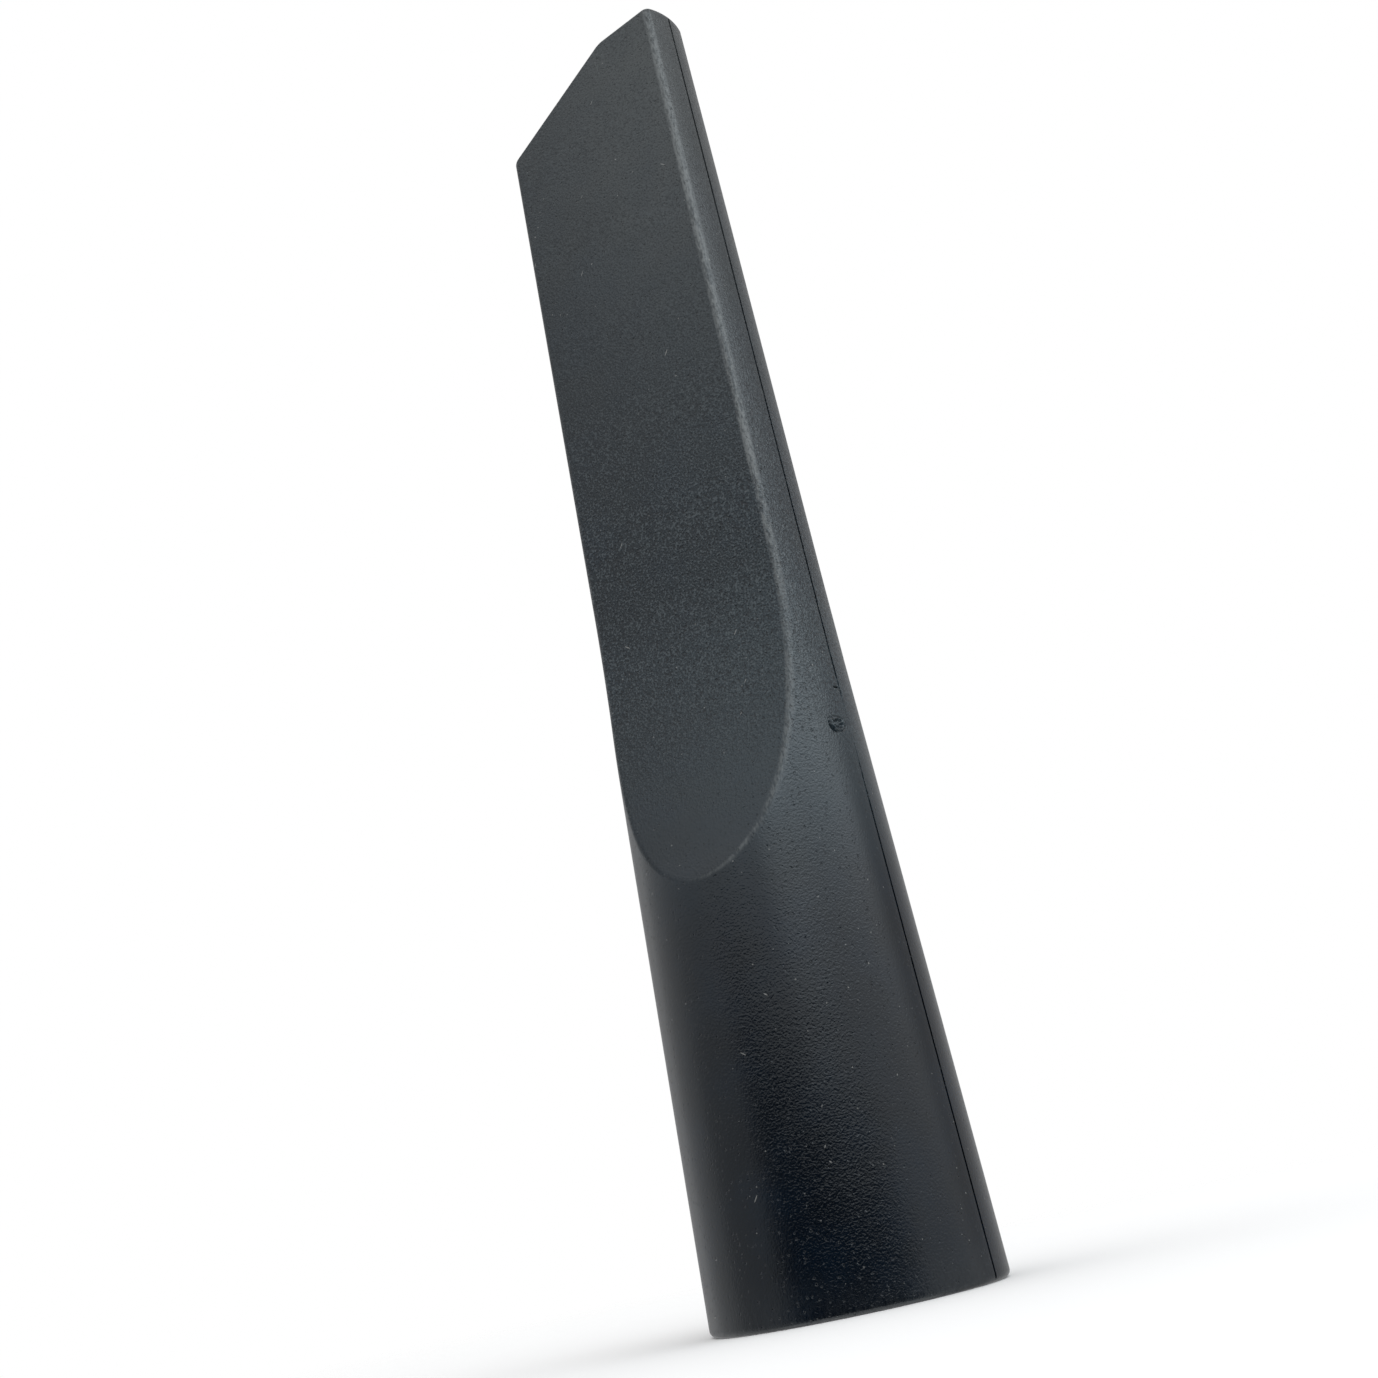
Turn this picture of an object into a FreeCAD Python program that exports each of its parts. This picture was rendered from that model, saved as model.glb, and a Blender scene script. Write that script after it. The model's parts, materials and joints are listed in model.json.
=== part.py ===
import FreeCAD, Part
import os

import Sketcher

# Vacuum crevice tool: a round tapered socket that flattens through a ramp on
# each face into a thin hollow nozzle with a slanted mouth. One moulded piece.
# The axis is Z, the socket's rim stands at Z = 0 and the nozzle's flat faces
# look along Y. Lengths are in millimetres and angles in degrees.

SIZES = {
    # socket that the hose end pushes into
    "socket_radius": 16.0,
    "socket_depth": 30.0,
    "socket_lead_in": 0.8,
    "socket_stop": 0.6,
    "rim_wall": 3.0,
    "rim_edge_round": 0.9,
    # round outside: two drafts that meet at a knee
    "overall_length": 180.0,
    "knee_height": 81.0,
    "lower_draft": 1.94,
    "upper_draft": 1.25,
    # ramps and flats, the same on both faces
    "ramp_start": 54.0,
    "ramp_angle": 27.0,
    "ramp_blend": 88.0,
    "flat_draft": 1.72,
    "flat_edge_round": 1.2,
    # mouth: the gap at the tip, and its slant seen square to the flats
    "mouth_gap": 4.28,
    "mouth_kink_across": 3.9,
    "mouth_kink_round": 4.0,
    "mouth_steep_angle": 31.4,
    "mouth_shallow_angle": 8.0,
    # walls round the airway
    "duct_wall": 2.0,
    "flat_wall": 1.6,
    "airway_edge_round": 0.5,
    # how far a cut runs past what it cuts
    "cut_margin": 20.0,
}

# Sizes that follow from the driving ones, as expressions of the sheet
RIM_RADIUS = "(sizes.socket_radius + sizes.rim_wall)"
KNEE_RADIUS = f"({RIM_RADIUS} - sizes.knee_height * tan(sizes.lower_draft))"
TIP_RADIUS = f"({KNEE_RADIUS} - (sizes.overall_length - sizes.knee_height) * tan(sizes.upper_draft))"
TOP_RADIUS = f"({TIP_RADIUS} - sizes.cut_margin * tan(sizes.upper_draft))"
LEAD_IN_RADIUS = "(sizes.socket_radius + sizes.socket_lead_in)"
CUT_TOP = "(sizes.overall_length + sizes.cut_margin)"
CUT_SIDE = f"({RIM_RADIUS} + sizes.cut_margin)"
RAMP_ROOT = f"({RIM_RADIUS} - sizes.ramp_start * tan(sizes.lower_draft))"
AIRWAY_RAMP_START = "(sizes.ramp_start - sizes.flat_wall / sin(sizes.ramp_angle))"
AIRWAY_HALF_GAP = "(sizes.mouth_gap / 2)"
TIP_HALF_THICKNESS = f"({AIRWAY_HALF_GAP} + sizes.flat_wall / cos(sizes.flat_draft))"
MOUTH_SIDE = f"({TIP_RADIUS} + sizes.cut_margin)"
MOUTH_TOP = f"({CUT_TOP} + sizes.cut_margin)"
KINK_UP = (f"(sizes.overall_length"
           f" - ({TIP_RADIUS} - sizes.mouth_kink_across) * tan(sizes.mouth_shallow_angle))")
LOW_SIDE_UP = f"({KINK_UP} - ({MOUTH_SIDE} + sizes.mouth_kink_across) * tan(sizes.mouth_steep_angle))"
HIGH_SIDE_UP = "(sizes.overall_length + sizes.cut_margin * tan(sizes.mouth_shallow_angle))"

doc = FreeCAD.newDocument("crevice_tool")
sheet = doc.addObject("Spreadsheet::Sheet", "sizes")
for row, (alias, number) in enumerate(SIZES.items(), start=1):
    sheet.set(f"A{row}", alias.replace("_", " "))
    sheet.set(f"B{row}", str(number))
    sheet.setAlias(f"B{row}", alias)
doc.recompute()


def value(expression):
    """The number that an expression of the sheet's sizes gives."""
    return float(sheet.evalExpression(expression))


def origin_plane(body, role):
    """The body's own origin plane with that role."""
    return next(item for item in body.Origin.OriginFeatures if item.Role == role)


def new_sketch(body, name, role):
    """A sketch on one of the body's own origin planes."""
    sketch = body.newObject("Sketcher::SketchObject", name)
    sketch.AttachmentSupport = (origin_plane(body, role), [""])
    sketch.MapMode = "FlatFace"
    return sketch


def bind(sketch, constraint, name, expression):
    """Adds a sized constraint and ties it to an expression of the sheet."""
    index = sketch.addConstraint(constraint)
    sketch.renameConstraint(index, name)
    sketch.setExpression(f"Constraints.{name}", expression)


def draw_outline(sketch, corners):
    """Draws closed lines through corners, each given as (name, across, up)."""
    points = [FreeCAD.Vector(value(across), value(up), 0) for _, across, up in corners]
    for begin, end in zip(points, points[1:] + points[:1]):
        sketch.addGeometry(Part.LineSegment(begin, end))
    for line, (name, across, up) in enumerate(corners):
        line_before = (line - 1) % len(corners)
        sketch.addConstraint(Sketcher.Constraint("Coincident", line_before, 2, line, 1))
        for kind, way, expression in (("DistanceX", "across", across), ("DistanceY", "up", up)):
            constraint = Sketcher.Constraint(kind, -1, 1, line, 1, value(expression))
            bind(sketch, constraint, f"{name}_{way}", expression)
    doc.recompute()


def round_corner(sketch, line, name, radius):
    """Rounds the corner at the end of a line by a tangent arc, keeping the corner as a point."""
    arc = sketch.GeometryCount
    begin = sketch.Geometry[line].StartPoint
    end = sketch.Geometry[line + 1].EndPoint
    sketch.fillet(line, line + 1, begin, end, value(radius), True, True)
    bind(sketch, Sketcher.Constraint("Radius", arc, value(radius)), name, radius)
    doc.recompute()


def turn(body, sketch, name):
    """Turns an outline round the tool's axis."""
    feature = body.newObject("PartDesign::Revolution", name)
    feature.Profile = sketch
    feature.ReferenceAxis = (sketch, ["V_Axis"])
    doc.recompute()


def cut_through(body, sketch, name):
    """Cuts an outline both ways through the whole body."""
    volume_before = body.Shape.Volume
    feature = body.newObject("PartDesign::Pocket", name)
    feature.Profile = sketch
    feature.Type = "ThroughAll"
    feature.SideType = "Symmetric"
    doc.recompute()
    if not feature.Shape.Volume < volume_before:
        raise RuntimeError(f"{name} cuts nothing")
    return feature


def mirror_cut(body, feature, role, name):
    """Repeats a cut on the other side of an origin plane."""
    mirrored = body.newObject("PartDesign::Mirrored", name)
    mirrored.Originals = [feature]
    mirrored.MirrorPlane = (origin_plane(body, role), [""])
    body.Tip = mirrored
    doc.recompute()
    return mirrored


def round_edges(body, base, edges, name, radius):
    """Rounds named edges of a feature."""
    fillet = body.newObject("PartDesign::Fillet", name)
    fillet.Base = (base, edges)
    fillet.setExpression("Radius", radius)
    doc.recompute()
    return fillet


def is_round(face):
    """Whether a face belongs to the turned tube rather than to a flat, a ramp or an end."""
    return isinstance(face.Surface, Part.Cone)


def is_end(face):
    """Whether a face is square to the axis."""
    return isinstance(face.Surface, Part.Plane) and face.Surface.Axis.isParallel(FreeCAD.Vector(0, 0, 1), 1e-6)


def edges_where(shape, test):
    """Names of the edges whose two faces pass a test."""
    return [f"Edge{index}" for index, edge in enumerate(shape.Edges, start=1)
            if test(shape.ancestorsOfType(edge, Part.Face))]


def between_flat_and_tube(faces):
    """Whether a flat or a ramp meets the round tube here."""
    tube_faces = [face for face in faces if is_round(face)]
    return len(tube_faces) == 1 and not any(is_end(face) for face in faces)


def round_the_rim(faces):
    """Whether the socket's rim face, at the foot of the axis, meets the round tube here."""
    foot_faces = [face for face in faces if is_end(face) and abs(face.CenterOfMass.z) < 1e-6]
    return len(foot_faces) == 1 and any(is_round(face) for face in faces)


def flatten(body, name, half_thickness, ramp_start, blend):
    """Cuts the ramp and flat of one face, with the hollow between, and mirrors it to the other face."""
    ramp_line = f"({RAMP_ROOT} + {ramp_start} * tan(sizes.ramp_angle))"
    flat_line = f"({half_thickness} + sizes.overall_length * tan(sizes.flat_draft))"
    meet_up = f"(({ramp_line} - {flat_line}) / (tan(sizes.ramp_angle) - tan(sizes.flat_draft)))"
    sketch = new_sketch(body, f"{name}_face", "YZ_Plane")
    draw_outline(sketch, (
        ("ramp_foot", CUT_SIDE, f"({ramp_line} - {CUT_SIDE}) / tan(sizes.ramp_angle)"),
        ("ramp_top", f"{flat_line} - {meet_up} * tan(sizes.flat_draft)", meet_up),
        ("flat_top", f"{half_thickness} - sizes.cut_margin * tan(sizes.flat_draft)", CUT_TOP),
        ("outside", CUT_SIDE, CUT_TOP),
    ))
    round_corner(sketch, 0, "blend", blend)
    cut = cut_through(body, sketch, f"{name}_front")
    return mirror_cut(body, cut, "XZ_Plane", f"{name}_both")


def make_tube():
    """The solid outside: turned tube, two flattened faces, rounded edges and the slanted mouth."""
    body = doc.addObject("PartDesign::Body", "tube")
    profile = new_sketch(body, "tube_profile", "XZ_Plane")
    draw_outline(profile, (
        ("axis_foot", "0", "0"),
        ("rim", RIM_RADIUS, "0"),
        ("knee", KNEE_RADIUS, "sizes.knee_height"),
        ("top", TOP_RADIUS, CUT_TOP),
        ("axis_top", "0", CUT_TOP),
    ))
    turn(body, profile, "tube_turned")
    flats = flatten(body, "tube_flat", TIP_HALF_THICKNESS, "sizes.ramp_start", "sizes.ramp_blend")
    flat_edges = edges_where(flats.Shape, between_flat_and_tube)
    softened = round_edges(body, flats, flat_edges, "flat_edges", "sizes.flat_edge_round")
    rim_edges = edges_where(softened.Shape, round_the_rim)
    round_edges(body, softened, rim_edges, "rim_edge", "sizes.rim_edge_round")
    mouth = new_sketch(body, "mouth_profile", "XZ_Plane")
    draw_outline(mouth, (
        ("low_side", f"-{MOUTH_SIDE}", LOW_SIDE_UP),
        ("kink", "sizes.mouth_kink_across", KINK_UP),
        ("high_side", MOUTH_SIDE, HIGH_SIDE_UP),
        ("high_corner", MOUTH_SIDE, MOUTH_TOP),
        ("low_corner", f"-{MOUTH_SIDE}", MOUTH_TOP),
    ))
    round_corner(mouth, 0, "kink_round", "sizes.mouth_kink_round")
    cut_through(body, mouth, "mouth")
    return body


def make_airway():
    """The hollow inside: straight socket with a lead-in and a stop, then a duct that follows the outside."""
    body = doc.addObject("PartDesign::Body", "airway")
    profile = new_sketch(body, "airway_profile", "XZ_Plane")
    draw_outline(profile, (
        ("axis_foot", "0", "-sizes.cut_margin"),
        ("mouth_foot", LEAD_IN_RADIUS, "-sizes.cut_margin"),
        ("lead_in", LEAD_IN_RADIUS, "0"),
        ("socket_foot", "sizes.socket_radius", "sizes.socket_lead_in"),
        ("socket_end", "sizes.socket_radius", "sizes.socket_depth"),
        ("stop", "sizes.socket_radius - sizes.socket_stop", "sizes.socket_depth"),
        ("knee", f"{KNEE_RADIUS} - sizes.duct_wall", "sizes.knee_height"),
        ("top", f"{TOP_RADIUS} - sizes.duct_wall", CUT_TOP),
        ("axis_top", "0", CUT_TOP),
    ))
    turn(body, profile, "airway_turned")
    blend = "sizes.ramp_blend + sizes.flat_wall"
    flats = flatten(body, "airway_flat", AIRWAY_HALF_GAP, AIRWAY_RAMP_START, blend)
    flat_edges = edges_where(flats.Shape, between_flat_and_tube)
    round_edges(body, flats, flat_edges, "airway_edges", "sizes.airway_edge_round")
    return body


tool = doc.addObject("Part::Cut", "crevice_tool")
tool.Base = make_tube()
tool.Tool = make_airway()
tool.Label = "crevice_tool"
doc.recompute()

for item in doc.Objects:
    if "Invalid" in item.State or "Error" in item.State:
        raise RuntimeError(f"{item.Name} failed: {item.State}")
if tool.Shape.isNull() or not tool.Shape.isValid() or len(tool.Shape.Solids) != 1:
    raise RuntimeError("the crevice tool isn't one sound solid")

os.makedirs("parts", exist_ok=True)
tool.Shape.exportStep(f"parts/{tool.Label}.step")
box = tool.Shape.optimalBoundingBox(False)
print(f"{tool.Label}: {box.XLength:.2f} x {box.YLength:.2f} x {box.ZLength:.2f} mm, {tool.Shape.Volume:.0f} mm3")
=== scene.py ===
"""Vacuum crevice tool: the finished moulding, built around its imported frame."""

import json
import logging
from dataclasses import dataclass, field
from enum import Enum
from math import asin, atan2, ceil, copysign, cos, exp, hypot, pi, radians, sin, sqrt, tan

import bmesh
import bpy
from mathutils import Matrix, Vector

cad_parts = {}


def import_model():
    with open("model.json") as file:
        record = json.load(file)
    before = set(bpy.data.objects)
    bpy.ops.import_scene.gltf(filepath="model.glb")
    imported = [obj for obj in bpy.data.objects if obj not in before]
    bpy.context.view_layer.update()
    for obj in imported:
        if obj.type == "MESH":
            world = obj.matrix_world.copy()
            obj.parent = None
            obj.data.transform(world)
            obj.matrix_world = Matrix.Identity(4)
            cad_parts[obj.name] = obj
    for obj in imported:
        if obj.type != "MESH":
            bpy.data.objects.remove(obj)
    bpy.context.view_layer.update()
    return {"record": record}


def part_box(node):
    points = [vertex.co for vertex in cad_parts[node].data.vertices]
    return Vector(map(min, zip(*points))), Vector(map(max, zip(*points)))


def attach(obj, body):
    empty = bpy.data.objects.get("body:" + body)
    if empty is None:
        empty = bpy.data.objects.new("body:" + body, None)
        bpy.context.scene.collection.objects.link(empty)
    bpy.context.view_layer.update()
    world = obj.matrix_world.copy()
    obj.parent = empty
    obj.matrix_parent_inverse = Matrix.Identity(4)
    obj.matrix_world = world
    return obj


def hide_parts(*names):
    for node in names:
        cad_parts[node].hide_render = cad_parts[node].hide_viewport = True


MM = 0.001
NODE = "crevice_tool"
BODY = "root"
# Vertex attribute for edge wear, which also carries a painted highlight along the long edge's round.
WEAR_AND_HIGHLIGHT = "edge_wear_and_highlight"

Socket = bpy.types.NodeSocket
Colour = tuple[float, float, float, float]
Span = tuple[float, float]

log = logging.getLogger(NODE)


def clamp(value: float, low: float = 0.0, high: float = 1.0) -> float:
    """Keep a value between two limits.

    Args:
        value: The value.
        low: The lower limit.
        high: The upper limit.

    Returns:
        The value, or the limit that it passes.
    """
    return max(low, min(high, value))


def bell(value: float, middle: float, width: float) -> float:
    """Give a smooth bump.

    Args:
        value: Where it is read.
        middle: Where it is highest.
        width: How far from its middle it has dropped to about a third.

    Returns:
        The bump's height, from 0 to 1.
    """
    return exp(-(((value - middle) / width) ** 2))


def mesh_object(name: str, bm: bmesh.types.BMesh) -> bpy.types.Object:
    """Turn a mesh into an object of the scene.

    Args:
        name: Its name.
        bm: Its mesh, which is freed.

    Returns:
        The object, shaded smooth.
    """
    mesh = bpy.data.meshes.new(name)
    bm.to_mesh(mesh)
    bm.free()
    mesh.shade_smooth()
    piece = bpy.data.objects.new(name, mesh)
    bpy.context.scene.collection.objects.link(piece)
    return piece


class Skin(Enum):
    """The two faces of the moulding's wall."""

    OUTER = "outer"
    INNER = "inner"


@dataclass(frozen=True)
class RingZone:
    """A stretch of the wall with evenly spaced rings, in millimetres."""

    low: float
    high: float
    step: float

    def heights(self) -> list[float]:
        """Give the heights of the rings, from low up to, but not at, high."""
        count = ceil((self.high - self.low) / self.step)
        return [self.low + (self.high - self.low) * i / count for i in range(count)]


@dataclass(frozen=True)
class WallSkin:
    """One face of the wall: a drafted tube, flattened at the front and the back.

    Lengths are in millimetres and angles in degrees. A station is a height and the tube's radius there.
    """

    low: tuple[float, float]
    knee: tuple[float, float]
    tip: tuple[float, float]
    tip_half_gap: float
    flat_draft: float
    ramp_start: float
    ramp_root: float
    ramp_angle: float
    ramp_blend: float
    edge_round: float
    edge_turn: float = 20.25
    edge_crowding: float = 1.3
    edge_run_in: float = 16.0
    edge_delay: float = 0.2
    settle_steps: int = 6

    def draft(self, z: float) -> float:
        """Give the tube's change of radius for each millimetre of height, negative where it narrows."""
        start, end = (self.low, self.knee) if z < self.knee[0] else (self.knee, self.tip)
        return (end[1] - start[1]) / (end[0] - start[0])

    def radius(self, z: float) -> float:
        """Give the tube's radius at a height above the rim."""
        return self.knee[1] + (z - self.knee[0]) * self.draft(z)

    def blend_centre(self) -> tuple[float, float]:
        """Find the centre of the round that joins the ramp to the flat.

        Returns:
            The centre's height and its distance from the middle plane.
        """
        flat, ramp = radians(self.flat_draft), radians(self.ramp_angle)
        flat_at_start = self.tip_half_gap + (self.tip[0] - self.ramp_start) * tan(flat)
        run = (self.ramp_root - flat_at_start) / (tan(ramp) - tan(flat))
        corner = (self.ramp_start + run, self.ramp_root - run * tan(ramp))
        reach = self.ramp_blend / (1.0 + cos(ramp - flat))
        return (
            corner[0] + reach * (sin(flat) + sin(ramp)),
            corner[1] + reach * (cos(flat) + cos(ramp)),
        )

    def flat(self, z: float) -> tuple[float, float]:
        """Give the front and back faces' distance from the middle plane, and their slope.

        Args:
            z: Height above the rim.

        Returns:
            The half thickness, and its change for each millimetre of height.
        """
        centre_z, centre_y = self.blend_centre()
        ramp, flat = radians(self.ramp_angle), radians(self.flat_draft)
        if z <= centre_z - self.ramp_blend * sin(ramp):
            return self.ramp_root - (z - self.ramp_start) * tan(ramp), -tan(ramp)
        if z >= centre_z - self.ramp_blend * sin(flat):
            return self.tip_half_gap + (self.tip[0] - z) * tan(flat), -tan(flat)
        drop = sqrt(self.ramp_blend**2 - (z - centre_z) ** 2)
        return centre_y - drop, (z - centre_z) / drop

    def nearest(self, point: Vector) -> tuple[float, Vector, float]:
        """Measure a point against the tube, the flat and the round between them.

        Args:
            point: The point, in millimetres.

        Returns:
            The distance outside the skin, the direction away from it, and how far the point is
            on the edge's round, from 0 beside it to 1 in its middle.
        """
        across = hypot(point.x, point.y)
        slope = self.draft(point.z)
        lean = 1.0 / hypot(1.0, slope)
        side = Vector((point.x / across, point.y / across, -slope)) * lean
        off_side = (across - self.radius(point.z)) * lean
        half, fall = self.flat(point.z)
        tilt = 1.0 / hypot(1.0, fall)
        face = Vector((0.0, tilt if point.y > 0.0 else -tilt, -fall * tilt))
        off_face = (abs(point.y) - half) * tilt
        turn = side.dot(face)
        spread = 1.0 - turn * turn
        from_side, from_face = off_side + self.edge_round, off_face + self.edge_round
        along_side = (from_side - from_face * turn) / spread
        along_face = (from_face - from_side * turn) / spread
        if along_side > 0.0 and along_face > 0.0:
            away = side * along_side + face * along_face
            share = along_face / (along_side + along_face)
            return away.length - self.edge_round, away.normalized(), 4.0 * share * (1.0 - share)
        if off_side > off_face:
            return off_side, side, 0.0
        return off_face, face, 0.0

    def along_edge(self, point: Vector) -> Vector:
        """Slide a point round the tube, so that columns of points run along the flat's edge.

        Args:
            point: A point on the round tube, in millimetres.

        Returns:
            The point at its new place round the tube.
        """
        turn, across = atan2(abs(point.y), abs(point.x)), hypot(point.x, point.y)
        edge, column = asin(min(1.0, self.flat(point.z)[0] / across)), radians(self.edge_turn)
        lined_up = edge * (1.0 - max(0.0, 1.0 - turn / column) ** self.edge_crowding)
        if turn > column:
            lined_up = edge + (turn - column) * (pi / 2 - edge) / (pi / 2 - column)
        share = clamp((point.z - self.ramp_start) / self.edge_run_in - self.edge_delay)
        turn += (lined_up - turn) * share * share * (3.0 - 2.0 * share)
        return Vector(
            (copysign(across * cos(turn), point.x), copysign(across * sin(turn), point.y), point.z)
        )

    def settle(self, point: Vector) -> Vector:
        """Press a point of the round tube onto the flattened skin.

        Args:
            point: A point on the round tube, in millimetres.

        Returns:
            The point on the skin.
        """
        half = self.flat(point.z)[0]
        settled = self.along_edge(point)
        settled.y = clamp(settled.y, -half, half)
        for _ in range(self.settle_steps):
            off, away, _ = self.nearest(settled)
            settled -= away * off
        return settled


@dataclass(frozen=True)
class MouthCut:
    """The slanted mouth: a shallow and a steep cut with a round kink between them."""

    top_x: float
    top_z: float
    kink_x: float
    kink_round: float
    shallow_angle: float
    steep_angle: float
    facets: int = 7

    def planes(self) -> list[tuple[Vector, Vector]]:
        """Give the cutting planes, from the shallow one to the steep one.

        Returns:
            A point in millimetres and an upward normal for each plane.
        """
        shallow, steep = radians(self.shallow_angle), radians(self.steep_angle)
        kink = Vector((self.kink_x, 0.0, self.top_z - (self.top_x - self.kink_x) * tan(shallow)))
        leans = Vector((-sin(shallow) - sin(steep), 0.0, cos(shallow) + cos(steep)))
        centre = kink - leans * (self.kink_round / (1.0 + cos(steep - shallow)))
        planes = []
        for i in range(self.facets):
            angle = shallow + (steep - shallow) * i / (self.facets - 1)
            normal = Vector((-sin(angle), 0.0, cos(angle)))
            planes.append((centre + normal * self.kink_round, normal))
        return planes

    def below(self, point: Vector) -> float:
        """Measure how far a point is below the mouth's nearest cut, positive inside the moulding."""
        return min((at - point).dot(normal) for at, normal in self.planes())

    def height(self, x: float) -> float:
        """Give the mouth's height above the rim, for a distance towards the long side."""
        return min(at.z + (at.x - x) * normal.x / normal.z for at, normal in self.planes())


class NodeBench:
    """A node tree with short ways to add nodes and join them."""

    def __init__(self, tree: bpy.types.NodeTree) -> None:
        """Take over a node tree and clear it.

        Args:
            tree: The node tree of a material, a world or a light.
        """
        self.tree = tree
        self.tree.nodes.clear()

    def add(self, kind: str, **settings: object) -> bpy.types.Node:
        """Add a node.

        Args:
            kind: The node's type name, without the ShaderNode in front.
            settings: The node's own properties.

        Returns:
            The new node.
        """
        node = self.tree.nodes.new("ShaderNode" + kind)
        for name, value in settings.items():
            setattr(node, name, value)
        return node

    def plug(self, socket: Socket, value: object) -> None:
        """Join an output to an input, or set the input's own value.

        Args:
            socket: The input.
            value: An output, a number or a colour.
        """
        if isinstance(value, Socket):
            self.tree.links.new(value, socket)
        else:
            socket.default_value = value

    def feed(self, node: bpy.types.Node, **values: object) -> bpy.types.Node:
        """Join sockets or set numbers on a node's inputs.

        Args:
            node: The node whose inputs are fed.
            values: Input names, with _ for a blank, and what each is given.

        Returns:
            The same node.
        """
        for name, value in values.items():
            self.plug(node.inputs[name.replace("_", " ")], value)
        return node

    def math(self, operation: str, *values: object) -> Socket:
        """Add a math node.

        Args:
            operation: Its operation.
            values: Sockets or numbers for its inputs, in order.

        Returns:
            The node's result.
        """
        node = self.add("Math", operation=operation)
        for socket, value in zip(node.inputs, values):
            self.plug(socket, value)
        return node.outputs[0]

    def times(self, value: Socket, *factors: object) -> Socket:
        """Multiply a value.

        Args:
            value: The value.
            factors: Sockets or numbers.

        Returns:
            The product.
        """
        for factor in factors:
            value = self.math("MULTIPLY", value, factor)
        return value

    def between(self, value: Socket, span: Span) -> Socket:
        """Run from one number of a span to the other while the value goes from 0 to 1."""
        return self.math("MULTIPLY_ADD", value, span[1] - span[0], span[0])

    def ramp(self, value: Socket, start: float, full: float) -> Socket:
        """Turn a range of a value into a smooth step from 0 to 1.

        Args:
            value: The value.
            start: Where the step starts.
            full: Where the step is full, which may be below its start.

        Returns:
            The stepped value.
        """
        node = self.add("MapRange", interpolation_type="SMOOTHSTEP")
        self.feed(node, Value=value, From_Min=start, From_Max=full)
        return node.outputs["Result"]

    def mix(self, share: Socket, under: object, over: object) -> Socket:
        """Mix two colours.

        Args:
            share: How much of the second colour shows.
            under: The first colour, a socket or four numbers.
            over: The second colour, a socket or four numbers.

        Returns:
            The mixed colour.
        """
        node = self.add("Mix", data_type="RGBA")
        self.plug(node.inputs[0], share)
        self.plug(node.inputs[6], under)
        self.plug(node.inputs[7], over)
        return node.outputs[2]

    def place(self) -> Socket:
        """Give the object's own coordinates, in metres."""
        return self.add("TexCoord").outputs["Object"]

    def split(self, place: Socket) -> bpy.types.Node:
        """Split coordinates into X, Y and Z."""
        return self.feed(self.add("SeparateXYZ"), Vector=place)

    def millimetres(self, axis: str) -> Socket:
        """Give one of the object's own coordinates in millimetres."""
        return self.times(self.split(self.place()).outputs[axis], 1.0 / MM)

    def noise(
        self,
        place: Socket,
        pitch_mm: float,
        detail: float = 2.0,
        roughness: float = 0.5,
        warp: float = 0.0,
    ) -> bpy.types.Node:
        """Add a cloudy noise.

        Args:
            place: The coordinates it is read at, in metres.
            pitch_mm: The size of its features in millimetres.
            detail: How many finer layers it has.
            roughness: How strong the finer layers are.
            warp: How much its features are bent.

        Returns:
            The node, with the noise from 0 to 1 and a noisy colour.
        """
        node = self.add("TexNoise")
        self.feed(node, Vector=place, Scale=1.0 / (pitch_mm * MM))
        return self.feed(node, Detail=detail, Roughness=roughness, Distortion=warp)

    def cloud(self, place: Socket, pitch_mm: float, detail: float) -> Socket:
        """Give a plain cloudy noise, from 0 to 1."""
        return self.noise(place, pitch_mm, detail).outputs[0]

    def cells(self, place: Socket, pitch_mm: float) -> bpy.types.Node:
        """Add a pattern of cells.

        Args:
            place: The coordinates it is read at, in metres.
            pitch_mm: The size of a cell in millimetres.

        Returns:
            The node, with the distance to the cell's middle and a random colour for each cell.
        """
        node = self.add("TexVoronoi")
        return self.feed(node, Vector=place, Scale=1.0 / (pitch_mm * MM))

    def chance(self, cells: bpy.types.Node) -> Socket:
        """Give each cell of a pattern a random number, from 0 to 1."""
        return self.feed(self.add("SeparateColor"), Color=cells.outputs["Color"]).outputs[0]

    def stretch(self, place: Socket, turn: tuple[float, float, float], length: float) -> Socket:
        """Draw a pattern out along its height and turn it.

        Args:
            place: The coordinates.
            turn: The pattern's turn about X, Y and Z in degrees.
            length: How many times longer the pattern gets.

        Returns:
            The new coordinates.
        """
        node = self.add("Mapping", vector_type="TEXTURE")
        self.feed(node, Vector=place, Scale=(1.0, 1.0, length))
        self.feed(node, Rotation=[radians(angle) for angle in turn])
        return node.outputs[0]


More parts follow.
